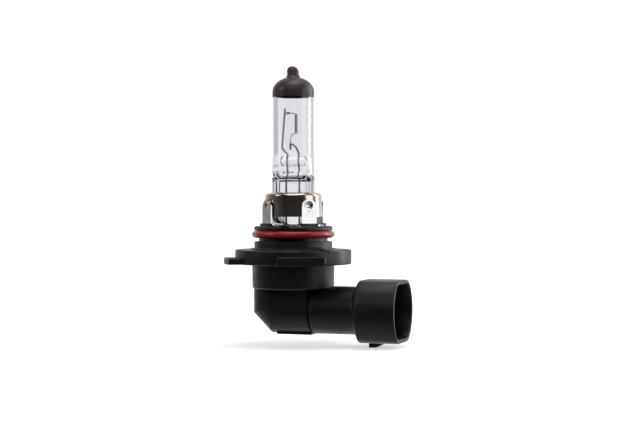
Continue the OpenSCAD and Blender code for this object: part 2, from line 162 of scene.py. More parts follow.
class Shape:
    """A mesh in millimetres that grows by operators and ends as one finished piece."""

    def __init__(self) -> None:
        """Starts an empty mesh."""
        self.bm = bmesh.new()

    def _close(self, faces: Iterable[bmesh.types.BMFace], inward: bool) -> None:
        """Merges doubles among new faces and turns them outward, or inward for a hollow."""
        faces = list(faces)
        verts = list({v for f in faces for v in f.verts})
        bmesh.ops.remove_doubles(self.bm, verts=verts, dist=1e-4)
        faces = [f for f in faces if f.is_valid]
        bmesh.ops.recalc_face_normals(self.bm, faces=faces)
        if inward:
            bmesh.ops.reverse_faces(self.bm, faces=faces)

    def turn(self, profile: Ring, steps: int = 96, closed: bool = True, inward: bool = False,
             axis: Vector = AXIS_Z, centre: Vector = Vector((0, 0, 0))) -> "Shape":
        """Spins a profile a full turn.

        Args:
            profile: Points in the XZ plane, X the distance from the axis.
            steps: Stretches in the turn.
            closed: Whether the profile's last point joins its first.
            inward: Whether the surface bounds a hollow inside the piece.
            axis: Direction that the profile's Z is turned to.
            centre: Where the axis passes.

        Returns:
            This shape.
        """
        verts = [self.bm.verts.new(p) for p in profile]
        pairs = list(zip(verts, verts[1:])) + ([(verts[-1], verts[0])] if closed else [])
        edges = [self.bm.edges.new(pair) for pair in pairs]
        before = set(self.bm.faces)
        bmesh.ops.spin(self.bm, geom=verts + edges, cent=(0, 0, 0), axis=AXIS_Z, angle=math.tau,
                       steps=steps, use_merge=True)
        faces = [f for f in self.bm.faces if f not in before]
        moved = list({v for f in faces for v in f.verts})
        turn = AXIS_Z.rotation_difference(axis).to_matrix()
        bmesh.ops.rotate(self.bm, cent=(0, 0, 0), matrix=turn, verts=moved)
        bmesh.ops.translate(self.bm, vec=centre, verts=moved)
        self._close(faces, inward)
        return self

    def loft(self, rings: Sequence[Ring], cap_start: bool = True, cap_end: bool = True,
             join_ends: bool = False, inward: bool = False) -> list[bmesh.types.BMFace]:
        """Draws a skin through rings of equal count, one extrusion for each ring.

        Args:
            rings: The rings, in order.
            cap_start: Whether the first ring is closed by a face.
            cap_end: Whether the last ring is closed by a face.
            join_ends: Whether the last ring meets the first.
            inward: Whether the skin bounds a hollow inside the piece.

        Returns:
            The new faces.
        """
        before = set(self.bm.faces)
        made = bmesh.ops.create_circle(self.bm, segments=len(rings[0]), radius=1.0)
        loop = self._ordered(made["verts"])
        first = loop
        for vert, place in zip(loop, rings[0]):
            vert.co = place
        for ring in rings[1:]:
            edges = [self.bm.edges.get((loop[i - 1], loop[i])) for i in range(len(loop))]
            grown = bmesh.ops.extrude_edge_only(self.bm, edges=edges)["geom"]
            fresh = {g for g in grown if isinstance(g, bmesh.types.BMVert)}
            loop = [next(e.other_vert(v) for e in v.link_edges if e.other_vert(v) in fresh)
                    for v in loop]
            for vert, place in zip(loop, ring):
                vert.co = place
        for wanted, verts in ((cap_start, first), (cap_end, loop)):
            if wanted and not join_ends:
                bmesh.ops.contextual_create(self.bm, geom=verts)
        faces = [f for f in self.bm.faces if f not in before]
        self._close(faces, inward)
        return [f for f in self.bm.faces if f not in before]

    @staticmethod
    def _ordered(verts: Sequence[bmesh.types.BMVert]) -> list[bmesh.types.BMVert]:
        """Returns a circle's vertices in the order that they follow round it."""
        loop = [verts[0]]
        while len(loop) < len(verts):
            step = [e.other_vert(loop[-1]) for e in loop[-1].link_edges]
            loop.append(next(v for v in step if len(loop) == 1 or v is not loop[-2]))
        return loop

    def sweep(self, path: Ring, radius: float | Sequence[float], sides: int = 16) -> "Shape":
        """Draws a round wire along a path.

        Args:
            path: The wire's centre line.
            radius: Its radius, or one radius for each point.
            sides: Sides of the wire.

        Returns:
            This shape.
        """
        radii = [radius] * len(path) if isinstance(radius, (int, float)) else list(radius)
        rings: list[Ring] = []
        tangent = (path[1] - path[0]).normalized()
        side = tangent.orthogonal().normalized()
        for i, point in enumerate(path):
            ahead = path[min(i + 1, len(path) - 1)] - path[max(i - 1, 0)]
            step = tangent.rotation_difference(ahead.normalized())
            tangent = ahead.normalized()
            side = (step @ side).normalized()
            other = tangent.cross(side)
            rings.append([point + (side * math.cos(a) + other * math.sin(a)) * radii[i]
                          for a in (math.tau * k / sides for k in range(sides))])
        self.loft(rings)
        return self

    def slab(self, outline: Ring, normal: Vector, bevel: float = 0.0,
             segments: int = 3) -> list[bmesh.types.BMFace]:
        """Extrudes a flat outline into a solid plate with eased edges.

        Args:
            outline: The outline, in order.
            normal: Direction and length of the extrusion.
            bevel: Width of the eased edges.
            segments: Stretches in each eased edge.

        Returns:
            The plate's faces.
        """
        before = set(self.bm.faces)
        verts = [self.bm.verts.new(p) for p in outline]
        base = self.bm.faces.new(verts)
        grown = bmesh.ops.extrude_face_region(self.bm, geom=[base], use_keep_orig=True)["geom"]
        top = [g for g in grown if isinstance(g, bmesh.types.BMVert)]
        bmesh.ops.translate(self.bm, vec=normal, verts=top)
        faces = [f for f in self.bm.faces if f not in before]
        self._close(faces, False)
        if bevel > 0:
            edges = list({e for f in faces if f.is_valid for e in f.edges
                          if e.calc_face_angle(0.0) > math.radians(30)})
            bmesh.ops.bevel(self.bm, geom=edges, offset=bevel, offset_type="OFFSET",
                            affect="EDGES", segments=segments, profile=0.5, material=-1,
                            clamp_overlap=True)
        return [f for f in self.bm.faces if f not in before]

    def move_where(self, rule: Callable[[Vector], Vector]) -> "Shape":
        """Moves every vertex to where a rule puts it.

        Args:
            rule: Takes a vertex's place and returns its new place.

        Returns:
            This shape.
        """
        for vert in self.bm.verts:
            vert.co = rule(vert.co.copy())
        return self

    def piece(self, name: str, finish: bpy.types.Material, slot: str, nodes: Sequence[str],
              crease: float = 35.0, ease: float = 0.0) -> bpy.types.Object:
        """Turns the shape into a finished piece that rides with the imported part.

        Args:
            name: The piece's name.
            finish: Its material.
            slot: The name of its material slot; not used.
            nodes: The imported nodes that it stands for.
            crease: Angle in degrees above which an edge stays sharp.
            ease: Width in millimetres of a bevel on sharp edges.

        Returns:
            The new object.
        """
        bmesh.ops.scale(self.bm, vec=(MM, MM, MM), verts=self.bm.verts[:])
        mesh = bpy.data.meshes.new(name)
        self.bm.to_mesh(mesh)
        self.bm.free()
        mesh.shade_smooth()
        mesh.set_sharp_from_angle(angle=math.radians(crease))
        mesh.materials.append(finish)
        obj = bpy.data.objects.new(name, mesh)
        bpy.context.scene.collection.objects.link(obj)
        if ease > 0:
            bevel = obj.modifiers.new("eased_edges", "BEVEL")
            bevel.width = ease * MM
            bevel.segments = 3
            bevel.limit_method = "ANGLE"
            bevel.angle_limit = math.radians(crease)
            bevel.harden_normals = True
        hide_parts(*nodes)
        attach(obj, BODY)
        log.info("%s: %d faces, stands for %s", name, len(mesh.polygons), ", ".join(nodes))
        return obj


# --------------------------------------------------------------------------- finishes


class Surface:
    """A node tree for one material, with short calls for its common nodes."""

    def __init__(self, name: str) -> None:
        """Starts a material with an empty Principled shader."""
        self.material = bpy.data.materials.new(name)
        self.material.use_nodes = True
        self.tree = self.material.node_tree
        self.shader = self.tree.nodes["Principled BSDF"]
        self.output = self.tree.nodes["Material Output"]
        self.place = self.tree.nodes.new("ShaderNodeTexCoord").outputs["Object"]

    def set(self, **values: object) -> "Surface":
        """Sets the shader's own sockets, with _ for a space in their names."""
        for name, value in values.items():
            self.shader.inputs[name.replace("_", " ")].default_value = value
        return self

    def stretch(self, scale: tuple[float, float, float]) -> bpy.types.NodeSocket:
        """Gives the object's coordinates scaled along each axis.

        Args:
            scale: The scale along X, Y and Z.

        Returns:
            The scaled coordinates.
        """
        node = self.tree.nodes.new("ShaderNodeMapping")
        node.inputs["Scale"].default_value = scale
        self.tree.links.new(self.place, node.inputs["Vector"])
        return node.outputs["Vector"]

    def noise(self, size_mm: float, detail: float = 3.0, rough: float = 0.5,
              along: bpy.types.NodeSocket | None = None) -> bpy.types.NodeSocket:
        """Adds a noise pattern.

        Args:
            size_mm: Size of its grains in millimetres.
            detail: Number of finer layers.
            rough: Strength of the finer layers.
            along: Coordinates to use in place of the object's own.

        Returns:
            The pattern's value.
        """
        node = self.tree.nodes.new("ShaderNodeTexNoise")
        node.inputs["Scale"].default_value = 1 / (size_mm * MM)
        node.inputs["Detail"].default_value = detail
        node.inputs["Roughness"].default_value = rough
        self.tree.links.new(along or self.place, node.inputs["Vector"])
        return node.outputs["Fac"]

    def between(self, value: bpy.types.NodeSocket, low: float, high: float,
                start: float = 0.3, end: float = 0.7) -> bpy.types.NodeSocket:
        """Maps a pattern's value to a range.

        Args:
            value: The pattern.
            low: Result at start.
            high: Result at end.
            start: The pattern's value that gives low.
            end: The pattern's value that gives high.

        Returns:
            The mapped value.
        """
        node = self.tree.nodes.new("ShaderNodeMapRange")
        node.inputs["From Min"].default_value = start
        node.inputs["From Max"].default_value = end
        node.inputs["To Min"].default_value = low
        node.inputs["To Max"].default_value = high
        self.tree.links.new(value, node.inputs["Value"])
        return node.outputs["Result"]

    def blend(self, value: bpy.types.NodeSocket, first: Sequence[float],
              second: Sequence[float]) -> bpy.types.NodeSocket:
        """Blends two colours by a value from 0 to 1.

        Args:
            value: The share of the second colour.
            first: Colour at 0.
            second: Colour at 1.

        Returns:
            The blended colour.
        """
        node = self.tree.nodes.new("ShaderNodeMix")
        node.data_type = "RGBA"
        node.inputs["A"].default_value = (*first, 1.0)
        node.inputs["B"].default_value = (*second, 1.0)
        self.tree.links.new(value, node.inputs["Factor"])
        return node.outputs["Result"]

    def feed(self, socket: str, value: bpy.types.NodeSocket) -> "Surface":
        """Links a pattern to one of the shader's sockets."""
        self.tree.links.new(value, self.shader.inputs[socket])
        return self

    def colour(self, pattern: bpy.types.NodeSocket, first: Sequence[float],
               second: Sequence[float]) -> "Surface":
        """Colours the surface by a pattern, from a first colour to a second."""
        return self.feed("Base Color", self.blend(self.between(pattern, 0, 1), first, second))

    def bump(self, height: bpy.types.NodeSocket, depth_mm: float,
             strength: float = 1.0) -> "Surface":
        """Adds relief under any that is there.

        Args:
            height: The relief's height pattern.
            depth_mm: Height in millimetres of a value of 1.
            strength: Share of the relief that is used.

        Returns:
            This surface.
        """
        node = self.tree.nodes.new("ShaderNodeBump")
        node.inputs["Distance"].default_value = depth_mm * MM
        node.inputs["Strength"].default_value = strength
        self.tree.links.new(height, node.inputs["Height"])
        normal = self.shader.inputs["Normal"]
        if normal.is_linked:
            self.tree.links.new(normal.links[0].from_socket, node.inputs["Normal"])
        self.tree.links.new(node.outputs["Normal"], normal)
        return self


@dataclass(frozen=True)
class MouldedNylon:
    """Black glass-filled nylon, satin, with a fine moulded grain and faint flow marks."""

    name: str = "black_nylon"
    dark: tuple[float, float, float] = (0.0045, 0.0045, 0.0052)
    light: tuple[float, float, float] = (0.0095, 0.0092, 0.010)
    gloss_low: float = 0.36
    gloss_high: float = 0.5

    def build(self) -> bpy.types.Material:
        """Returns the material."""
        surface = Surface(self.name)
        surface.set(Specular_IOR_Level=0.55, IOR=1.53)
        cloud = surface.noise(5.0, 4.0, 0.55)
        grain = surface.noise(0.22, 2.0, 0.6)
        flow = surface.noise(1.6, 3.0, 0.6, surface.stretch((0.35, 0.35, 1.0)))
        surface.colour(cloud, self.dark, self.light)
        surface.feed("Roughness", surface.between(flow, self.gloss_low, self.gloss_high))
        surface.bump(grain, 0.012, 0.8)
        surface.bump(flow, 0.02, 0.35)
        return surface.material


@dataclass(frozen=True)
class ClearGlass:
    """Polished hard glass, faintly grey in its depth, with soft drawing waves."""

    name: str = "clear_glass"
    tint: tuple[float, float, float] = (0.985, 0.985, 0.99)
    depth_tint: tuple[float, float, float] = (0.20, 0.22, 0.30)
    depth_density: float = 190.0
    wave_depth: float = 0.006

    def build(self) -> bpy.types.Material:
        """Returns the material."""
        surface = Surface(self.name)
        surface.set(Base_Color=(*self.tint, 1.0), IOR=1.48, Roughness=0.0,
                    Transmission_Weight=1.0)
        wave = surface.noise(2.4, 1.0, 0.4, surface.stretch((1.0, 1.0, 0.18)))
        surface.bump(wave, self.wave_depth, 0.5)
        depth = surface.tree.nodes.new("ShaderNodeVolumeAbsorption")
        depth.inputs["Color"].default_value = (*self.depth_tint, 1.0)
        depth.inputs["Density"].default_value = self.depth_density
        surface.tree.links.new(depth.outputs["Volume"], surface.output.inputs["Volume"])
        return surface.material


@dataclass(frozen=True)
class TopPaint:
    """Satin brown-black heat-proof paint with a fine orange peel."""

    name: str = "black_coating"
    dark: tuple[float, float, float] = (0.044, 0.025, 0.027)
    light: tuple[float, float, float] = (0.070, 0.046, 0.049)

    def build(self) -> bpy.types.Material:
        """Returns the material."""
        surface = Surface(self.name)
        surface.set(Specular_IOR_Level=0.5, Coat_Weight=0.15, Coat_Roughness=0.3)
        cloud = surface.noise(1.8, 4.0, 0.6)
        peel = surface.noise(0.35, 2.0, 0.5)
        surface.colour(cloud, self.dark, self.light)
        surface.feed("Roughness", surface.between(peel, 0.36, 0.5))
        surface.bump(peel, 0.015, 0.6)
        return surface.material


@dataclass(frozen=True)
class Metal:
    """Bare metal with fine lines along one direction and faint uneven tarnish."""

    name: str
    bright: tuple[float, float, float]
    tarnish: tuple[float, float, float]
    gloss_low: float
    gloss_high: float
    line_mm: float = 0.15
    stretch: tuple[float, float, float] = (0.08, 0.08, 1.0)
    depth: float = 0.002

    def build(self) -> bpy.types.Material:
        """Returns the material."""
        surface = Surface(self.name)
        surface.set(Metallic=1.0)
        cloud = surface.noise(3.2, 4.0, 0.6)
        lines = surface.noise(self.line_mm, 2.0, 0.6, surface.stretch(self.stretch))
        shade = surface.between(cloud, 0, 1, 0.42, 0.72)
        surface.feed("Base Color", surface.blend(shade, self.bright, self.tarnish))
        surface.feed("Roughness", surface.between(lines, self.gloss_low, self.gloss_high))
        surface.bump(lines, self.depth, 0.6)
        return surface.material


@dataclass(frozen=True)
class HeatTintedSteel:
    """Bright pressed steel with straw and brown heat tints near the glass."""

    name: str = "stainless"
    bright: tuple[float, float, float] = (0.72, 0.71, 0.72)
    straw: tuple[float, float, float] = (0.64, 0.42, 0.25)
    brown: tuple[float, float, float] = (0.46, 0.33, 0.26)
    tint_z: float = 15.4
    tint_depth: float = 5.5

    def build(self) -> bpy.types.Material:
        """Returns the material."""
        surface = Surface(self.name + "_tinted")
        surface.set(Metallic=1.0)
        split = surface.tree.nodes.new("ShaderNodeSeparateXYZ")
        surface.tree.links.new(surface.place, split.inputs["Vector"])
        low, high = (self.tint_z - self.tint_depth) * MM, self.tint_z * MM
        height = surface.between(split.outputs["Z"], 0, 1, low, high)
        streaks = surface.between(surface.noise(1.7, 3.0, 0.6, surface.stretch((1.0, 1.0, 0.2))), 0, 1)
        share = surface.tree.nodes.new("ShaderNodeMath")
        share.operation = "MULTIPLY"
        surface.tree.links.new(height, share.inputs[0])
        surface.tree.links.new(streaks, share.inputs[1])
        warm = surface.blend(surface.between(surface.noise(2.6, 2.0), 0, 1), self.straw, self.brown)
        mixed = surface.tree.nodes.new("ShaderNodeMix")
        mixed.data_type = "RGBA"
        mixed.inputs["A"].default_value = (*self.bright, 1.0)
        surface.tree.links.new(warm, mixed.inputs["B"])
        surface.tree.links.new(share.outputs["Value"], mixed.inputs["Factor"])
        lines = surface.noise(0.12, 2.0, 0.6, surface.stretch((0.08, 0.08, 1.0)))
        waves = surface.noise(2.2, 2.0, 0.5)
        surface.feed("Base Color", mixed.outputs["Result"])
        surface.feed("Roughness", surface.between(lines, 0.13, 0.22))
        surface.bump(lines, 0.002, 0.6)
        surface.bump(waves, 0.05, 0.5)
        return surface.material


@dataclass(frozen=True)
class SealRubber:
    """Smooth red silicone with a thin film of grease."""

    name: str = "red_silicone"
    deep: tuple[float, float, float] = (0.42, 0.008, 0.018)
    bright: tuple[float, float, float] = (0.62, 0.016, 0.030)

    def build(self) -> bpy.types.Material:
        """Returns the material."""
        surface = Surface(self.name)
        surface.set(Specular_IOR_Level=0.45, Coat_Weight=0.35, Coat_Roughness=0.18)
        cloud = surface.noise(2.5, 3.0, 0.5)
        skin = surface.noise(0.3, 2.0, 0.5)
        surface.colour(cloud, self.deep, self.bright)
        surface.feed("Roughness", surface.between(skin, 0.28, 0.42))
        surface.bump(skin, 0.008, 0.6)
        return surface.material


@dataclass(frozen=True)
class WovenSleeve:
    """Off-white braided glass fibre."""

    name: str = "glass_fibre_sleeve"
    thread: tuple[float, float, float] = (0.78, 0.74, 0.66)
    gap: tuple[float, float, float] = (0.42, 0.38, 0.31)

    def build(self) -> bpy.types.Material:
        """Returns the material."""
        surface = Surface(self.name)
        surface.set(Sheen_Weight=0.2)
        wave = surface.tree.nodes.new("ShaderNodeTexWave")
        wave.wave_type = "BANDS"
        wave.bands_direction = "DIAGONAL"
        wave.inputs["Scale"].default_value = 700
        wave.inputs["Distortion"].default_value = 0.6
        surface.tree.links.new(surface.place, wave.inputs["Vector"])
        weave = wave.outputs["Fac"]
        surface.feed("Base Color", surface.blend(weave, self.gap, self.thread))
        surface.feed("Roughness", surface.between(weave, 0.85, 0.65, 0, 1))
        surface.bump(weave, 0.05, 0.7)
        return surface.material


@dataclass(frozen=True)
class CastResin:
    """Brownish cast resin with a slightly uneven skin."""

    name: str = "potting"
    dark: tuple[float, float, float] = (0.06, 0.05, 0.04)
    light: tuple[float, float, float] = (0.10, 0.085, 0.065)

    def build(self) -> bpy.types.Material:
        """Returns the material."""
        surface = Surface(self.name)
        cloud = surface.noise(1.5, 4.0, 0.6)
        surface.colour(cloud, self.dark, self.light)
        surface.feed("Roughness", surface.between(cloud, 0.35, 0.6))
        surface.bump(cloud, 0.08, 0.5)
        return surface.material


class Finish(Enum):
    """The finishes that the material slots name."""

    GLASS = ClearGlass()
    BAR_GLASS = ClearGlass(depth_density=15.0)
    TOP_PAINT = TopPaint()
    NYLON = MouldedNylon()
    SEAL = SealRubber()
    SLEEVE = WovenSleeve()
    RESIN = CastResin()
    TUNGSTEN = Metal("tungsten", (0.30, 0.30, 0.32), (0.20, 0.20, 0.22), 0.32, 0.45, 0.05)
    MOLYBDENUM = Metal("molybdenum", (0.46, 0.45, 0.46), (0.30, 0.29, 0.29), 0.25, 0.4, 0.06)
    STAINLESS = Metal("stainless", (0.74, 0.74, 0.74), (0.60, 0.56, 0.52), 0.13, 0.22)
    TINTED_STEEL = HeatTintedSteel()
    TINNED_BRASS = Metal("tinned_brass", (0.74, 0.71, 0.64), (0.60, 0.53, 0.40), 0.2, 0.36, 0.12,
                         (1.0, 0.1, 0.1))


class Workshop:
    """Keeps one built material for each finish."""

    def __init__(self) -> None:
        """Starts with nothing built."""
        self._built: dict[Finish, bpy.types.Material] = {}

    def material(self, finish: Finish) -> bpy.types.Material:
        """Gives a finish's material, building it the first time.

        Args:
            finish: The wanted finish.

        Returns:
            Its material.
        """
        if finish not in self._built:
            self._built[finish] = finish.value.build()
        return self._built[finish]

    def dress(self, node: str, finish: Finish) -> None:
        """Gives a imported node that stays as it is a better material.

        Args:
            node: The node's name.
            finish: Its finish.
        """
        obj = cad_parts[node]
        obj.data.materials.clear()
        obj.data.materials.append(self.material(finish))
        log.info("%s: packed shape kept, finish %s", node, finish.value.name)


# --------------------------------------------------------------------------- glass


@dataclass
class Capsule:
    """The glass tube, its painted top, and the bridge bar inside it."""

    workshop: Workshop
    radius: float = 5.9
    wall: float = 1.0
    foot_radius: float = 6.05
    dome_z: float = 45.0
    dome_h: float = 4.2
    tip_z: float = 52.3
    nipple_r: float = 2.1
    nipple_tip_r: float = 1.35
    coat_z: float = 43.5
    coat_t: float = 0.09
    tube_z: float = 22.6
    swell_z: float = 18.9
    hollow_z: float = 20.6
    hollow_top_z: float = 23.6
    pinch_z: float = 7.4
    pinch_w: float = 12.0
    pinch_t: float = 3.8
    web_t: float = 2.3
    rib_w: float = 1.6
    bridge_z: float = 25.2
    bridge_len: float = 7.5
    bridge_r: float = 1.4
    sides: int = 120

    def _pinch_ring(self, z: float, inset: float = 0.0) -> Ring:
        """Gives the outside section at a height between the pinch's foot and the tube.

        Args:
            z: The height.
            inset: How far the section is drawn in, at the foot's rounded end.

        Returns:
            The section's ring.
        """
        swell = smooth((z - self.swell_z) / (self.tube_z - self.swell_z))
        foot = math.sqrt(max(0.0, 1 - ((self.pinch_z + 2 - z) / 2) ** 2)) if z < self.pinch_z + 2 else 1
        half_w = mix(self.pinch_w / 2 - 2 + 2 * foot, self.foot_radius, swell) - inset
        half_t = mix(self.pinch_t / 2, self.foot_radius, swell ** 1.4) - inset
        power = mix(7.0, 2.0, smooth(swell * 1.6))
        ring = super_ring(half_w, half_t, power, self.sides)
        web = mix(self.web_t / self.pinch_t, 1.0, smooth(swell * 2.2))
        for p in ring:
            inner = smooth((half_w - self.rib_w - abs(p.x)) / 0.5 + 0.5)
            p.y *= mix(1.0, web, inner)
            p.z = z
        return ring

    def _dome(self, grow: float) -> Ring:
        """Gives the outer profile from the dome's spring line to the tip.

        Args:
            grow: How much larger than the glass it is.

        Returns:
            Points in the XZ plane.
        """
        start = math.acos(self.nipple_r / self.radius)
        arc = [Vector(((self.radius + grow) * math.cos(a), 0,
                       self.dome_z + (self.dome_h + grow) * math.sin(a)))
               for a in (start * k / 14 for k in range(15))]
        tip_low = self.tip_z - self.nipple_tip_r
        neck = [Vector((1.72 + grow, 0, tip_low - 1.3)), Vector((1.6 + grow, 0, tip_low - 0.7))]
        cap = [Vector(((self.nipple_tip_r + 0.28 + grow) * math.cos(a), 0,
                       tip_low + (self.nipple_tip_r + grow) * math.sin(a)))
               for a in (math.pi / 2 * k / 8 for k in range(9))]
        cap[-1].x = 0.0
        return arc + neck + cap

    def _lean(self, p: Vector) -> Vector:
        """Returns a point of the tip moved by the slight lean and dent of the sealed-off end."""
        share = smooth((p.z - 48.6) / 3.5)
        angle = math.atan2(p.y, p.x)
        dent = 1 - 0.10 * share * max(0.0, math.cos(angle + 1.1)) ** 2
        return Vector((p.x * dent - 0.16 * share, p.y * dent, p.z - 0.25 * share * max(0.0, p.x) / 1.5))

    def build(self) -> None:
        """Builds the capsule, its paint and the bridge bar."""
        glass = self.workshop.material(Finish.GLASS)
        outer = Shape()
        foot = [self.pinch_z + 0.02, 7.6, 7.9, 8.4, 9.4]
        swelling = [mix(self.swell_z, self.tube_z, k / 14) for k in range(1, 15)]
        heights = foot + [12.0, 15.0, 18.0, self.swell_z] + swelling
        rings = [self._pinch_ring(self.pinch_z, 0.35)] + [self._pinch_ring(z) for z in heights]
        for z, r in ((25.0, 5.95), (28.0, self.radius), (36.0, self.radius)):
            rings.append(super_ring(r, r, 2.0, self.sides, z))
        for p in self._dome(0.0)[:-1]:
            rings.append(super_ring(p.x, p.x, 2.0, self.sides, p.z))
        outer.loft(rings)
        outer.move_where(self._lean)
        inner_r = self.radius - self.wall
        inside: list[Ring] = []
        for k in range(9):
            t = k / 8
            z = mix(self.hollow_z, self.hollow_top_z, t ** 1.5)
            ease = math.sqrt(max(0.0, 1 - (1 - t) ** 2))
            rx = mix(3.6, inner_r, ease)
            ry = mix(0.9, inner_r, ease)
            inside.append(super_ring(rx, ry, 2.0, self.sides, z))
        for k in range(15):
            a = math.pi / 2 * k / 15
            r = inner_r * math.cos(a)
            z = self.dome_z + (self.dome_h - 1.0) * math.sin(a)
            inside.append(super_ring(r, r, 2.0, self.sides, z))
        outer.loft(inside, inward=True)
        outer.piece("glass_envelope", glass, "clear_glass", ["glass_envelope"], crease=50)
        self._paint()
        self._bridge(self.workshop.material(Finish.BAR_GLASS))

    def _paint(self) -> None:
        """Builds the painted skin over the dome and tip."""
        outside = [Vector((self.radius + self.coat_t, 0, self.coat_z + 0.05))] + self._dome(self.coat_t)
        inside = [Vector((self.radius + 0.005, 0, self.coat_z))] + self._dome(0.005)
        skin = Shape().turn(outside + inside[::-1], steps=self.sides, closed=False)
        skin.move_where(self._lean)
        skin.piece("black_top_coating", self.workshop.material(Finish.TOP_PAINT),
                   "black_coating", ["black_top_coating"], crease=50)

    def _bridge(self, glass: bpy.types.Material) -> None:
        """Builds the glass bar, swollen where the leads pass through it."""
        half = self.bridge_len / 2
        profile = rounded_profile([(0, -half, 0), (self.bridge_r, -half, 0.7),
                                   (self.bridge_r, half, 0.7), (0, half, 0)], 6, closed=False)
        bar = Shape().turn(profile, steps=40, closed=False, axis=AXIS_X,
                           centre=Vector((0, 0, self.bridge_z)))
        bar.piece("glass_bridge", glass, "clear_glass", ["glass_bridge"], crease=60)


@dataclass
class Filament:
    """The coil with its tails, the two sleeves and the two lead wires."""

    workshop: Workshop
    coil_x: float = 0.85
    coil_low: float = 33.1
    coil_high: float = 38.7
    turns: int = 11
    coil_r: float = 0.4
    wire_r: float = 0.13
    lead_r: float = 0.3
    bridge_x: float = 1.7
    lead_x: float = 2.0
    lead_y: float = 3.1
    weld_z: float = -15.0
    bend_z: float = -4.0
    tail_x: float = -0.85
    top_x: float = -2.5
    steps: int = 24

    def build(self) -> None:
        """Builds the coil, sleeves and leads."""
        self._coil()
        self._sleeves()
        self._leads()

    def _coil(self) -> None:
        """Builds the coil as a spun helix, with a swept tail at each end."""
        coil = Shape()
        made = bmesh.ops.create_circle(coil.bm, segments=10, radius=self.wire_r)
        stand = Matrix.Rotation(math.pi / 2, 3, "X")
        bmesh.ops.rotate(coil.bm, cent=(0, 0, 0), matrix=stand, verts=made["verts"])
        start = Vector((self.coil_x - self.coil_r, 0, self.coil_high))
        bmesh.ops.translate(coil.bm, vec=start, verts=made["verts"])
        steps = self.turns * self.steps
        edges = list({e for v in made["verts"] for e in v.link_edges})
        drop = Vector((0, 0, (self.coil_low - self.coil_high) / steps))
        bmesh.ops.spin(coil.bm, geom=made["verts"] + edges, cent=(self.coil_x, 0, 0),
                       axis=-AXIS_Z, dvec=drop, angle=math.tau * self.turns, steps=steps)
        bmesh.ops.recalc_face_normals(coil.bm, faces=coil.bm.faces[:])
        high = self.coil_high + 0.2
        left = self.coil_x - self.coil_r
        upper = rounded_path([(self.top_x + 0.1, 0, high), (left - 0.25, 0, high),
                              (left - 0.02, 0, self.coil_high), (left, -0.05, self.coil_high - 0.03)],
                             [0, 0.3, 0.1, 0])
        lower = rounded_path([(left, 0.05, self.coil_low + 0.02), (left - 0.05, 0, self.coil_low - 0.1),
                              (-0.6, 0, self.coil_low - 0.4), (self.tail_x, 0, 30.6),
                              (self.tail_x, 0, 28.2)], [0, 0.15, 0.4, 0.5, 0])
        coil.sweep(upper, self.wire_r, 10)
        coil.sweep(lower, self.wire_r, 10)
        coil.piece("filament", self.workshop.material(Finish.TUNGSTEN), "tungsten",
                   ["filament"], crease=60)

    def _sleeves(self) -> None:
        """Builds the two sleeves that join the tails to the leads."""
        metal = self.workshop.material(Finish.MOLYBDENUM)
        upper = rounded_profile([(0.15, 0, 0.04), (0.38, 0, 0.12), (0.4, 1.1, 0.12),
                                 (0.15, 1.1, 0.04)], 4)
        Shape().turn(upper, 32, axis=AXIS_X, centre=Vector((self.top_x + 0.35, 0, self.coil_high + 0.2))
                     ).piece("upper_tail_sleeve", metal, "molybdenum", ["upper_tail_sleeve"])
        lower = rounded_profile([(0.15, 0, 0.04), (0.36, 0, 0.12), (0.37, 1.8, 0.12),
                                 (0.15, 1.8, 0.04)], 4)
        Shape().turn(lower, 32, centre=Vector((self.tail_x, 0, 28.5))
                     ).piece("lower_tail_sleeve", metal, "molybdenum", ["lower_tail_sleeve"])

    def _leads(self) -> None:
        """Builds the long and the short lead from the coil down to the contacts."""
        metal = self.workshop.material(Finish.MOLYBDENUM)
        low = [(self.bridge_x, 0, 26.7), (self.bridge_x, 0, 23.5), (self.lead_x, 0, 21.2),
               (self.lead_x, 0, self.bend_z), (self.lead_x, self.lead_y, -9.5),
               (self.lead_x, self.lead_y, self.weld_z)]
        long_top = [(self.top_x, 0, 40.3), (-3.4, 0, 29.4), (-3.35, 0, 28.7), (-1.8, 0, 27.1)]
        long_points = long_top + [(-x, -y, z) for x, y, z in low]
        short_points = [(-0.35, 0, 30.0), (0.75, 0, 29.3), (1.65, 0, 27.3)] + low
        for name, points in (("long_lead", long_points), ("short_lead", short_points)):
            path = rounded_path(points, [0.9] * len(points), 6)
            Shape().sweep(path, self.lead_r, 20).piece(name, metal, "molybdenum", [name], crease=60)


# --------------------------------------------------------------------------- steel collar


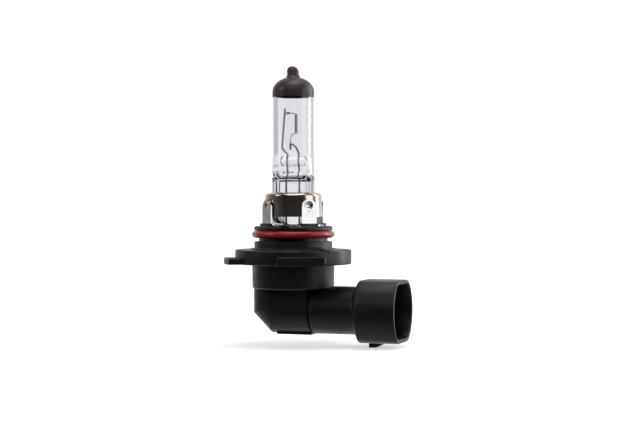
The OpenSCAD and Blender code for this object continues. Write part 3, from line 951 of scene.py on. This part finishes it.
@dataclass
class Collar:
    """The pressed cup round the pinch and the stamped ring with four welded legs."""

    workshop: Workshop
    steel_t: float = 0.4
    top_z: float = 16.3
    bottom_z: float = 9.4
    bottom_r: float = 8.38
    shoulder_r: float = 8.1
    shoulder_w: float = 2.0
    shoulder_h: float = 1.0
    slot_x: float = 6.1
    slot_y: float = 2.02
    leg_r: float = 8.85
    leg_w: float = 4.8
    leg_top: float = 14.3
    foot_flare: float = 1.2
    dimple_z: float = 12.6
    dimple_r: float = 1.2
    dimple_depth: float = 0.36
    disc_z: float = 6.7
    ring_r: float = 8.65
    ring_bore_r: float = 7.0
    leg_angles: tuple[int, ...] = (50, 140, 230, 320)
    sides: int = 144

    def build(self) -> None:
        """Builds the cup, the ring and its legs."""
        self._cup()
        self._ring()
        self.workshop.dress("pinch_clip", Finish.STAINLESS)

    def _side(self, inset: float) -> list[tuple[float, float]]:
        """Gives the cup's profile from its lower edge over the shoulder.

        Args:
            inset: Distance inside the cup's outer skin.

        Returns:
            Pairs of radius and height.
        """
        wide, high = self.shoulder_w - inset, self.shoulder_h - inset
        centre_r, centre_z = self.shoulder_r - self.shoulder_w, self.top_z - self.shoulder_h
        low = [(self.bottom_r - inset, self.bottom_z), (self.bottom_r - inset - 0.03, self.bottom_z + 0.5),
               (mix(self.bottom_r, self.shoulder_r, 0.6) - inset, 12.6),
               (self.shoulder_r - inset + 0.03, centre_z - 0.9)]
        arc = [(centre_r + wide * math.cos(a), centre_z + high * math.sin(a))
               for a in (math.pi / 2 * k / 12 for k in range(13))]
        return low + arc

    def _cup(self) -> None:
        """Builds the cup with its slot for the pinch."""
        rings: list[Ring] = []
        for r, z in self._side(0.0):
            rings.append(super_ring(r, r, 2.0, self.sides, z))
        for z in (self.top_z - 0.03, self.top_z - self.steel_t):
            rings.append(super_ring(self.slot_x, self.slot_y, 9.0, self.sides, z))
        for r, z in reversed(self._side(self.steel_t)):
            rings.append(super_ring(r, r, 2.0, self.sides, z))
        rings.append(rings[0])
        cup = Shape()
        cup.loft(rings, join_ends=True)
        cup.piece("collar_cup", self.workshop.material(Finish.TINTED_STEEL), "stainless",
                  ["collar_cup"], crease=40, ease=0.06)

    def _leg_half_width(self, z: float) -> float:
        """Gives a leg's half width at a height: flared at the foot, half round on top."""
        half = self.leg_w / 2
        centre = self.leg_top - half
        if z > centre:
            return math.sqrt(max(0.0, half ** 2 - (z - centre) ** 2))
        flare = self.foot_flare
        if z < self.disc_z + flare:
            return half + flare - math.sqrt(max(0.0, flare ** 2 - (self.disc_z + flare - z) ** 2))
        return half

    def _ring(self) -> None:
        """Builds the base ring and the four flat legs with their weld dents."""
        ring = Shape()
        t = self.steel_t
        low, high = self.disc_z, self.disc_z + t
        base = rounded_profile([(self.ring_bore_r, low, 0.08), (self.ring_r, low, 0.08),
                                (self.ring_r, high, 0.08), (self.ring_bore_r, high, 0.08)], 3)
        ring.turn(base, self.sides)
        for angle in self.leg_angles:
            sheet = bmesh.ops.create_grid(ring.bm, x_segments=22, y_segments=60, size=0.5)
            for vert in sheet["verts"]:
                u, v = vert.co.x * 2, vert.co.y + 0.5
                z = mix(low + 0.01, self.leg_top - 0.004, 1 - (1 - v) ** 1.3)
                y = u * self._leg_half_width(z)
                reach = math.hypot(y, z - self.dimple_z) / self.dimple_r
                dent = self.dimple_depth * (1 - smooth(reach)) if reach < 1 else 0.0
                rim = 0.04 * math.exp(-((reach - 1.1) / 0.16) ** 2)
                vert.co = Vector((self.leg_r - 0.045 - dent + rim, y, z))
            faces = list({f for v in sheet["verts"] for f in v.link_faces})
            bmesh.ops.recalc_face_normals(ring.bm, faces=faces)
            if sum(f.normal.x for f in faces) < 0:
                bmesh.ops.reverse_faces(ring.bm, faces=faces)
            bmesh.ops.rotate(ring.bm, cent=(0, 0, 0), verts=sheet["verts"],
                             matrix=Matrix.Rotation(math.radians(angle), 3, "Z"))
            bmesh.ops.solidify(ring.bm, geom=faces, thickness=t)
        ring.piece("mounting_ring", self.workshop.material(Finish.STAINLESS), "stainless",
                   ["mounting_ring"], crease=40, ease=0.05)


# --------------------------------------------------------------------------- cap


@dataclass
class Cap:
    """The black housing: disc, groove, flange, barrel, arm and plug socket."""

    workshop: Workshop
    disc_z: float = 6.7
    flange_r: float = 16.6
    flange_t: float = 4.15
    lug_r: float = 19.8
    lug_t: float = 1.85
    lug_angles: tuple[float, ...] = (-152.0, 68.0)
    bar_angle: float = -63.0
    hump_angle: float = -48.0
    leg_angles: tuple[int, ...] = (50, 140, 230, 320)
    barrel_r: float = 11.7
    barrel_z: float = -11.1
    arm_z: float = -17.05
    arm_r: float = 6.8
    spigot_r: float = 5.55
    seam_x: float = 6.65
    socket_x: float = 19.6
    flare_x: float = 20.3
    mouth_x: float = 32.58
    floor_x: float = 21.9
    socket_w: float = 20.8
    socket_h: float = 17.6
    flat: float = 5.6
    wall: float = 1.2
    wedge_x: float = 23.2
    wedge_toe: float = 2.0
    wedge_end_x: float = 27.6
    wedge_z: float = -27.18
    notch_angle: float = -84.0
    notch_r: float = 10.35
    notch_half_w: float = 1.35
    lug_root_x: float = 13.0
    lug_half_w: float = 5.5
    bar_face_x: float = 17.3
    bar_half_w: float = 6.75
    bar_chamfer: float = 0.35
    bar_t: float = 2.5
    neck_r: float = 5.6
    neck_wall: float = 1.1
    ring_sides: int = 240

    def build(self) -> None:
        """Builds the housing as one piece."""
        shape = Shape()
        self._round_body(shape)
        self._lugs(shape)
        self._hump(shape)
        self._bosses(shape)
        self._neck(shape)
        self._arm_and_socket(shape)
        self._wedge(shape)
        shape.piece("housing", self.workshop.material(Finish.NYLON), "black_nylon",
                    ["housing"], crease=38)

    def _round_body(self, shape: Shape) -> None:
        """Spins the disc, groove, spigot, flange and barrel, and cuts the rim's notch."""
        corners: list[Corner] = [
            (0, 1.5, 0), (5.0, 1.5, 0.1), (5.0, self.disc_z, 0.15), (10.85, self.disc_z, 0.12),
            (11.2, self.disc_z - 0.35, 0.12), (11.2, 5.5, 0.12), (9.8, 5.5, 0.25), (9.8, 2.3, 0.25),
            (11.15, 2.3, 0.18), (11.1, 0.4, 0.12), (12.2, 0.4, 0.15), (12.2, 0.0, 0.12),
            (self.flange_r, 0.0, 0.4), (self.flange_r, -self.flange_t, 0.4),
            (self.barrel_r + 0.05, -self.flange_t, 0.35), (self.barrel_r - 0.05, -10.75, 0.15),
            (11.2, self.barrel_z, 0.15), (4.6, self.barrel_z, 0.1), (4.6, -9.9, 0.1),
            (8.8, -9.9, 0.2), (8.8, -1.0, 0.2), (0, -1.0, 0)]
        before = set(shape.bm.verts)
        shape.turn(rounded_profile(corners, 4, closed=False), self.ring_sides, closed=False)
        notch = math.radians(self.notch_angle)
        for vert in [v for v in shape.bm.verts if v not in before]:
            r = math.hypot(vert.co.x, vert.co.y)
            a = math.atan2(vert.co.y, vert.co.x)
            off = abs((a - notch + math.pi) % math.tau - math.pi) * 11.2
            if 5.3 < vert.co.z < 6.8 and r > self.notch_r and off < self.notch_half_w:
                vert.co.x *= self.notch_r / r
                vert.co.y *= self.notch_r / r

    def _lugs(self, shape: Shape) -> None:
        """Adds the two thin lugs and the wide bar lug."""
        low = -self.flange_t
        root, wide = self.lug_root_x, self.lug_half_w
        half = wide / self.lug_r
        tip = [(self.lug_r * math.cos(half * k / 6), self.lug_r * math.sin(half * k / 6))
               for k in range(-6, 7)]
        for degrees in self.lug_angles:
            ring = [Vector((x, y, low + 0.03)) for x, y in [(root, -wide), *tip, (root, wide)]]
            self._turned(shape, shape.slab(ring, Vector((0, 0, self.lug_t)), 0.25), degrees)
        face, wide, cut = self.bar_face_x, self.bar_half_w, self.bar_chamfer
        bar = [(root, -wide), (face - cut, -wide), (face, cut - wide), (face, wide - cut),
               (face - cut, wide), (root, wide)]
        ring = [Vector((x, y, low + 0.02)) for x, y in bar]
        self._turned(shape, shape.slab(ring, Vector((0, 0, self.bar_t)), 0.18), self.bar_angle)

    @staticmethod
    def _turned(shape: Shape, faces: list[bmesh.types.BMFace], degrees: float) -> None:
        """Turns some faces about the lamp axis."""
        verts = list({v for f in faces for v in f.verts})
        bmesh.ops.rotate(shape.bm, cent=(0, 0, 0), verts=verts,
                         matrix=Matrix.Rotation(math.radians(degrees), 3, "Z"))

    def _hump(self, shape: Shape) -> None:
        """Adds the low stop on the flange's upper face."""
        crest = [(y, 1.1 * smooth(1 - abs(y) / 4.2)) for y in (x * 0.35 for x in range(-12, 13))]
        outline = [(-4.2, -0.6)] + crest + [(4.2, -0.6)]
        ring = [Vector((12.1, y, z)) for y, z in outline]
        faces = shape.slab(ring, Vector((4.15, 0, 0)), 0.0)
        self._turned(shape, faces, self.hump_angle)

    def _bosses(self, shape: Shape) -> None:
        """Adds the raised foot outside each leg."""
        for degrees in self.leg_angles:
            ring = [Vector((x, y, self.disc_z - 0.1)) for x, y in
                    ((8.9, -2.75), (9.45, -2.65), (9.45, 2.65), (8.9, 2.75))]
            self._turned(shape, shape.slab(ring, Vector((0, 0, 0.88)), 0.12), degrees)

    def _neck(self, shape: Shape) -> None:
        """Adds the trough inside the elbow cover that carries the arm."""
        radius, wall = self.neck_r, self.neck_wall
        outer = Elbow.section_ring(radius, self.barrel_z + 0.1, self.arm_z, 40)
        inner = Elbow.section_ring(radius - wall, self.barrel_z + 0.1, self.arm_z, 40)
        rings = [[Vector((x, p.y, p.z)) for p in ring]
                 for ring, x in ((outer, -3.2), (outer, 5.7), (inner, 5.7), (inner, -3.2), (outer, -3.2))]
        shape.loft(rings, join_ends=True)

    def _outline(self, width: float, height: float, count: int) -> Ring:
        """Gives the socket's outline: flat above and below, with bulged sides.

        Args:
            width: Width across the bulges.
            height: Height between the flats.
            count: Number of points.

        Returns:
            The outline in the YZ plane about the arm's axis, starting at +Y.
        """
        half_w, half_h = width / 2, height / 2
        reach = half_w - self.flat
        bulge = (reach ** 2 + half_h ** 2) / (2 * reach)
        ring: Ring = []
        for k in range(count):
            a = math.tau * k / count
            c, s = math.cos(a), math.sin(a)
            low, high = 0.0, 20.0
            for _ in range(30):
                mid = (low + high) / 2
                y, z = abs(mid * c), abs(mid * s)
                side = math.hypot(y - (half_w - bulge), z) - bulge
                top = z - half_h
                corner = max(side, top) if max(side, top) < -0.9 else self._soft(side, top)
                low, high = (mid, high) if corner < 0 else (low, mid)
            ring.append(Vector((0, low * c, low * s)))
        return ring

    @staticmethod
    def _soft(a: float, b: float, radius: float = 0.9) -> float:
        """Returns the larger of two distances, with their corner rounded."""
        pa, pb = max(0.0, a + radius), max(0.0, b + radius)
        return math.hypot(pa, pb) - radius if min(pa, pb) > 0 else max(a, b)

    def _arm_and_socket(self, shape: Shape) -> None:
        """Lofts the arm, the flare, the shroud, its rim and its inside."""
        count = 128
        circle = [Vector((0, math.cos(a), math.sin(a))) for a in
                  (math.tau * k / count for k in range(count))]
        full = self._outline(self.socket_w, self.socket_h, count)
        hollow = self._outline(self.socket_w - 2 * self.wall, self.socket_h - 2 * self.wall, count)
        rings: list[Ring] = []

        def add(x: float, ring: Ring, scale: float = 1.0) -> None:
            """Adds a ring at a place along the arm."""
            rings.append([Vector((x, p.y * scale, self.arm_z + p.z * scale)) for p in ring])

        seam, full_r = self.seam_x, self.arm_r
        for x, r in ((4.6, self.spigot_r), (seam - 0.02, self.spigot_r), (seam, full_r - 0.2),
                     (seam + 0.12, full_r - 0.05), (seam + 0.4, full_r), (10.0, full_r - 0.02),
                     (15.0, full_r), (self.socket_x - 0.5, full_r), (self.socket_x, full_r + 0.1),
                     (self.socket_x + 0.35, full_r + 0.45)):
            add(x, circle, r)
        for k in range(9):
            turn = math.pi / 2 * (0.16 + 0.84 * k / 8)
            share, x = math.sin(turn), self.flare_x + 1.25 * (1 - math.cos(turn))
            add(x, [Vector((0, mix(c.y * 7.2, f.y, share), mix(c.z * 7.2, f.z, share)))
                    for c, f in zip(circle, full)])
        for x in (24.0, 28.0, self.mouth_x - 0.6):
            add(x, full)
        add(self.mouth_x - 0.35, full, 0.997)
        add(self.mouth_x - 0.12, full, 0.985)
        add(self.mouth_x, full, 0.962)
        add(self.mouth_x, hollow, 1.035)
        add(self.mouth_x - 0.12, hollow, 1.012)
        add(self.mouth_x - 0.4, hollow)
        for x in (28.0, 24.0, self.floor_x + 0.3):
            add(x, hollow)
        add(self.floor_x + 0.08, hollow, 0.985)
        add(self.floor_x, hollow, 0.95)
        shape.loft(rings)

    def _wedge(self, shape: Shape) -> None:
        """Adds the lock wedge under the socket."""
        low = self.arm_z - self.socket_h / 2
        side = [(self.wedge_x, low + 0.8), (self.wedge_x, self.wedge_z),
                (self.wedge_x + self.wedge_toe, self.wedge_z), (self.wedge_end_x, low),
                (self.wedge_end_x, low + 0.8)]
        ring = [Vector((x, -2.5, z)) for x, z in side]
        shape.slab(ring, Vector((0, 5, 0)), 0.2)


@dataclass
class Elbow:
    """The separate cover over the elbow, as seen from outside."""

    workshop: Workshop
    radius: float = 6.75
    wall: float = 1.1
    back_x: float = -4.8
    end_x: float = 6.3
    top_z: float = -11.12
    arm_z: float = -17.05
    mitre_z: float = -15.41
    pad: tuple[float, float, float] = (-4.15, 5.0, -24.1)
    count: int = 112

    @staticmethod
    def section_ring(radius: float, top_z: float, arm_z: float, count: int,
                     half_width: float | None = None) -> Ring:
        """Gives the elbow's cross section: round below, square above.

        Args:
            radius: Half its depth.
            top_z: Height of its top.
            arm_z: Height of the round part's centre.
            count: Number of points.
            half_width: Half the width at this station, where the plan is rounded.

        Returns:
            A closed ring in the YZ plane.
        """
        half = radius if half_width is None else half_width
        side_z = arm_z - math.sqrt(max(0.0, radius ** 2 - half ** 2))
        lower = count // 2
        rise = (count - lower) // 4
        spread = math.asin(min(1.0, half / radius))
        ring = [Vector((0, half, mix(side_z, top_z, k / rise))) for k in range(rise, 0, -1)]
        ring += [Vector((0, radius * math.sin(spread * (1 - 2 * k / lower)),
                         arm_z - radius * math.cos(spread * (1 - 2 * k / lower))))
                 for k in range(lower + 1)]
        ring += [Vector((0, -half, mix(side_z, top_z, k / rise))) for k in range(1, rise + 1)]
        left = count - len(ring)
        ring += [Vector((0, mix(-half, half, (k + 1) / (left + 1)), top_z)) for k in range(left)]
        return ring

    def _heel(self, x: float, y: float, z: float) -> float:
        """Raises a height to the mitred heel's surface, with the mitre's edge eased.

        Args:
            x: Place along the arm.
            y: Place across the arm.
            z: The height without a heel.

        Returns:
            The height with the heel.
        """
        depth = math.sqrt(max(0.0, self.radius ** 2 - y ** 2))
        heel = self.mitre_z - (x - self.back_x) - math.sqrt(2) * depth
        ease = 0.3
        gap = max(-ease, min(ease, heel - z))
        return max(z, heel) if abs(heel - z) >= ease else z + (gap + ease) ** 2 / (4 * ease)

    def build(self) -> None:
        """Builds the cover: its outside, with a shallow recess at the arm's side and no hollow."""
        shape = Shape()
        front = self.back_x - self.radius
        stations = [front + 0.02 + (self.radius - 0.02) * (1 - math.cos(math.pi / 2 * k / 40))
                    for k in range(41)]
        stations += [mix(self.back_x, self.end_x, k / 24) for k in range(1, 25)]
        rings: list[Ring] = []
        for x in stations:
            reach = min(0.0, x - self.back_x)
            half = math.sqrt(max(0.0, self.radius ** 2 - reach ** 2))
            ring = self.section_ring(self.radius, self.top_z, self.arm_z, self.count, max(half, 0.05))
            for p in ring:
                if p.z < self.top_z - 0.2:
                    p.z = self._heel(x, p.y, p.z)
                p.x = x
            rings.append(ring)
        inner = self.section_ring(self.radius - self.wall, self.top_z - 0.9, self.arm_z, self.count)
        for x in (self.end_x, self.end_x - 1.4):
            rings.append([Vector((x, p.y, p.z)) for p in inner])
        shape.loft(rings)
        pad_x, pad_w, pad_z = self.pad
        outline = [Vector((pad_x, y, z)) for y, z in ((-pad_w / 2, pad_z), (pad_w / 2, pad_z),
                                                     (pad_w / 2, pad_z + 1), (-pad_w / 2, pad_z + 1))]
        shape.slab(outline, Vector((self.end_x - pad_x - 0.02, 0, 0)), 0.18)
        shape.piece("elbow_cover", self.workshop.material(Finish.NYLON), "black_nylon",
                    ["elbow_cover"], crease=32, ease=0.18)


@dataclass
class Seal:
    """The red sealing ring in the groove."""

    workshop: Workshop
    height: float = 4.35
    centre_r: float = 10.825
    radius: float = 1.02
    parting: float = 0.03

    def build(self) -> None:
        """Builds the ring with its faint mould line."""
        section: Ring = []
        for k in range(40):
            a = math.tau * k / 40
            ridge = self.parting * math.exp(-(math.sin(a) / 0.06) ** 2)
            reach = self.radius - self.parting + ridge
            section.append(Vector((self.centre_r + reach * math.cos(a), 0,
                                   self.height + reach * math.sin(a))))
        Shape().turn(section, 200).piece("o_ring", self.workshop.material(Finish.SEAL),
                                         "red_silicone", ["o_ring"], crease=70)


@dataclass
class Contacts:
    """The two stamped contacts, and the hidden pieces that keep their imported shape."""

    workshop: Workshop
    blade_y: float = 3.8
    blade_t: float = 0.8
    half: float = 1.4
    tip_x: float = 27.5
    arm_z: float = -17.05
    tab_z: float = -12.6
    lead_x: float = 2.0

    def build(self) -> None:
        """Builds the contacts and dresses the carrier, sleeves and compound."""
        metal = self.workshop.material(Finish.TINNED_BRASS)
        for name, side in (("terminal_positive", 1), ("terminal_negative", -1)):
            tab = side * self.lead_x
            low, high = self.arm_z - self.half, self.arm_z + self.half
            outline = [(tab - 1.4, low), (self.tip_x - 1.6, low), (self.tip_x, low + 0.8),
                       (self.tip_x, high - 0.8), (self.tip_x - 1.6, high), (tab + 1.4, high),
                       (tab + 1.4, self.tab_z), (tab - 1.4, self.tab_z)]
            y = side * self.blade_y - self.blade_t / 2
            shape = Shape()
            shape.slab([Vector((x, y, z)) for x, z in outline], Vector((0, self.blade_t, 0)), 0.14)
            shape.piece(name, metal, "tinned_brass", [name])
        self.workshop.dress("terminal_block", Finish.NYLON)
        self.workshop.dress("lead_sleeve_left", Finish.SLEEVE)
        self.workshop.dress("lead_sleeve_right", Finish.SLEEVE)
        self.workshop.dress("sealing_compound", Finish.RESIN)


# --------------------------------------------------------------------------- studio


@dataclass(frozen=True)
class SoftBox:
    """One soft rectangular light, placed by the picture's right, near and up directions."""

    name: str
    place: tuple[float, float, float]
    size: tuple[float, float]
    power: float

    def build(self, right: Vector, near: Vector) -> None:
        """Adds the light, aimed at the lamp axis.

        Args:
            right: The picture's right-hand direction.
            near: The direction towards the camera.
        """
        light = bpy.data.lights.new(self.name, "AREA")
        light.shape = "RECTANGLE"
        light.size, light.size_y = self.size[0] * MM, self.size[1] * MM
        light.energy = self.power
        obj = bpy.data.objects.new(self.name, light)
        bpy.context.scene.collection.objects.link(obj)
        place = right * self.place[0] + near * self.place[1] + AXIS_Z * self.place[2]
        obj.location = place * MM
        obj.rotation_euler = (-place).to_track_quat("-Z", "Y").to_euler()


@dataclass
class Studio:
    """A pale floor and backdrop, a painted shadow on the floor round the part, soft lights and the camera.
    """

    azimuth: float = 18.5
    distance: float = 450.0
    eye_z: float = 14.1
    aim_right: float = 6.2
    aim_z: float = 10.97
    lens: float = 90.0
    paper_glow: float = 0.95
    # Painted shadow on the floor: the next three values set its lowest glow near the part and the radii
    # over which the glow rises to paper_glow.
    painted_shadow_start: float = 30.0
    painted_shadow_glow: float = 0.5
    painted_shadow_reach: float = 150.0
    sky_span: tuple[float, float] = (0.1, 0.92)
    back_sky: float = 0.9
    front_sky: float = 0.022
    side_sky: tuple[tuple[float, float], ...] = ((0.26, 0.3), (0.5, 0.11), (0.72, 0.05))
    below_sky: float = 0.3
    floor_reach: float = 3000.0
    backdrop_half: float = 255.0
    cove: float = 350.0
    boxes: tuple[SoftBox, ...] = (
        SoftBox("left_box", (-400, 130, 240), (120, 220), 0.3),
        SoftBox("right_box", (410, 150, 90), (260, 340), 0.38),
        SoftBox("rim_box", (400, -170, 130), (110, 380), 0.8),
        SoftBox("high_box", (30, 360, 250), (420, 60), 0.22),
        SoftBox("top_box", (20, 20, 480), (420, 260), 0.9),
    )

    def build(self) -> None:
        """Sets up the sweep, the lights and the camera."""
        self._sweep()
        self._world()
        for box in self.boxes:
            box.build(self._right(), self._towards())
        self._camera()
        bpy.context.scene.view_settings.view_transform = "Standard"

    def _right(self) -> Vector:
        """Returns the picture's right-hand direction in the row frame."""
        a = math.radians(self.azimuth)
        return Vector((math.cos(a), math.sin(a), 0))

    def _towards(self) -> Vector:
        """Returns the direction from the part to the camera."""
        a = math.radians(self.azimuth)
        return Vector((math.sin(a), -math.cos(a), 0))

    def _sheet(self, name: str, profile: Ring, half_width: float, paper: bpy.types.Material) -> None:
        """Builds a sheet of paper from its side profile.

        Args:
            name: The sheet's name.
            profile: Points (towards the camera, up from the floor).
            half_width: Half the sheet's width.
            paper: Its material.
        """
        floor_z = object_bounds()[0][2] / MM
        bm = bmesh.new()
        verts = [bm.verts.new(self._towards() * p.x + AXIS_Z * (floor_z + p.y) - self._right() * half_width)
                 for p in profile]
        edges = [bm.edges.new(pair) for pair in zip(verts, verts[1:])]
        grown = bmesh.ops.extrude_edge_only(bm, edges=edges)["geom"]
        moved = [g for g in grown if isinstance(g, bmesh.types.BMVert)]
        bmesh.ops.translate(bm, vec=self._right() * 2 * half_width, verts=moved)
        bmesh.ops.recalc_face_normals(bm, faces=bm.faces[:])
        if sum(f.normal.z + f.normal.dot(self._towards()) for f in bm.faces) < 0:
            bmesh.ops.reverse_faces(bm, faces=bm.faces[:])
        bmesh.ops.scale(bm, vec=(MM, MM, MM), verts=bm.verts[:])
        mesh = bpy.data.meshes.new(name)
        bm.to_mesh(mesh)
        bm.free()
        mesh.shade_smooth()
        mesh.materials.append(paper)
        sheet = bpy.data.objects.new(name, mesh)
        sheet.visible_glossy = False
        sheet.visible_diffuse = False
        bpy.context.scene.collection.objects.link(sheet)
        sheet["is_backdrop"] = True

    def _sweep(self) -> None:
        """Builds the floor, with a painted shadow round the part where its glow is lower in place of a cast
        shadow, and the curved backdrop.
        """
        reach = self.floor_reach
        floor = Surface("studio_floor")
        floor.set(Base_Color=(0.9, 0.9, 0.9, 1.0), Roughness=0.9, Specular_IOR_Level=0.0,
                  Emission_Color=(1.0, 1.0, 1.0, 1.0))
        length = floor.tree.nodes.new("ShaderNodeVectorMath")
        length.operation = "LENGTH"
        floor.tree.links.new(floor.place, length.inputs[0])
        # Painted shadow: the floor's glow is lower near the part and rises with distance from it, in place
        # of a cast shadow.
        glow = floor.between(length.outputs["Value"], self.painted_shadow_glow, self.paper_glow,
                             self.painted_shadow_start * MM, self.painted_shadow_reach * MM)
        floor.feed("Emission Strength", glow)
        self._sheet("studio_floor", [Vector((reach, 0, 0)), Vector((-reach, 0, 0))], reach,
                    floor.material)
        back = Surface("studio_backdrop")
        back.set(Base_Color=(0.9, 0.9, 0.9, 1.0), Roughness=0.9, Specular_IOR_Level=0.0,
                 Emission_Color=(1.0, 1.0, 1.0, 1.0), Emission_Strength=self.paper_glow)
        cove = self.cove
        profile = rounded_path([(-cove, 0.3), (-2 * cove, 0.3), (-2 * cove, reach)], [0, cove, 0], 24)
        self._sheet("studio_backdrop", profile, self.backdrop_half, back.material)

    def _world(self) -> None:
        """Gives a soft world light: white behind the part and dark on the camera's side."""
        world = bpy.data.worlds.new("studio")
        bpy.context.scene.world = world
        world.use_nodes = True
        tree = world.node_tree
        place = tree.nodes.new("ShaderNodeTexCoord").outputs["Generated"]
        dot = tree.nodes.new("ShaderNodeVectorMath")
        dot.operation = "DOT_PRODUCT"
        dot.inputs[1].default_value = self._towards()
        tree.links.new(place, dot.inputs[0])
        shift = tree.nodes.new("ShaderNodeMapRange")
        shift.inputs["From Min"].default_value = -1.0
        tree.links.new(dot.outputs["Value"], shift.inputs["Value"])
        ramp = tree.nodes.new("ShaderNodeValToRGB")
        ramp.color_ramp.interpolation = "EASE"
        first, last = ramp.color_ramp.elements
        first.position, last.position = self.sky_span
        first.color = (self.back_sky * 0.96, self.back_sky * 0.98, self.back_sky, 1.0)
        last.color = (self.front_sky, self.front_sky, self.front_sky, 1.0)
        for position, value in self.side_sky:
            ramp.color_ramp.elements.new(position).color = (value, value, value, 1.0)
        tree.links.new(shift.outputs["Result"], ramp.inputs["Fac"])
        split = tree.nodes.new("ShaderNodeSeparateXYZ")
        tree.links.new(place, split.inputs["Vector"])
        below = tree.nodes.new("ShaderNodeMapRange")
        below.interpolation_type = "SMOOTHSTEP"
        below.inputs["From Min"].default_value = -0.15
        below.inputs["From Max"].default_value = -0.85
        below.inputs["To Max"].default_value = self.below_sky
        tree.links.new(split.outputs["Z"], below.inputs["Value"])
        total = tree.nodes.new("ShaderNodeVectorMath")
        total.operation = "ADD"
        tree.links.new(ramp.outputs["Color"], total.inputs[0])
        tree.links.new(below.outputs["Result"], total.inputs[1])
        tree.links.new(total.outputs["Vector"], tree.nodes["Background"].inputs["Color"])

    def _camera(self) -> None:
        """Adds the camera, level with the collar and a little to the socket's side."""
        data = bpy.data.cameras.new("camera")
        data.lens = self.lens
        data.sensor_width = 36.0
        data.clip_start, data.clip_end = 0.01, 20.0
        camera = bpy.data.objects.new("camera", data)
        bpy.context.scene.collection.objects.link(camera)
        aim = self._right() * self.aim_right + AXIS_Z * self.aim_z
        eye = self._right() * self.aim_right + self._towards() * self.distance + AXIS_Z * self.eye_z
        camera.location = eye * MM
        camera.rotation_euler = (aim - eye).to_track_quat("-Z", "Y").to_euler()
        bpy.context.scene.camera = camera


def main() -> None:
    """Builds every sub-assembly in order."""
    logging.basicConfig(level=logging.INFO, format="%(message)s")
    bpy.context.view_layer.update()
    workshop = Workshop()
    Studio().build()
    Capsule(workshop).build()
    Filament(workshop).build()
    Collar(workshop).build()
    Cap(workshop).build()
    Elbow(workshop).build()
    Seal(workshop).build()
    Contacts(workshop).build()


if __name__ == "__main__":
    main()
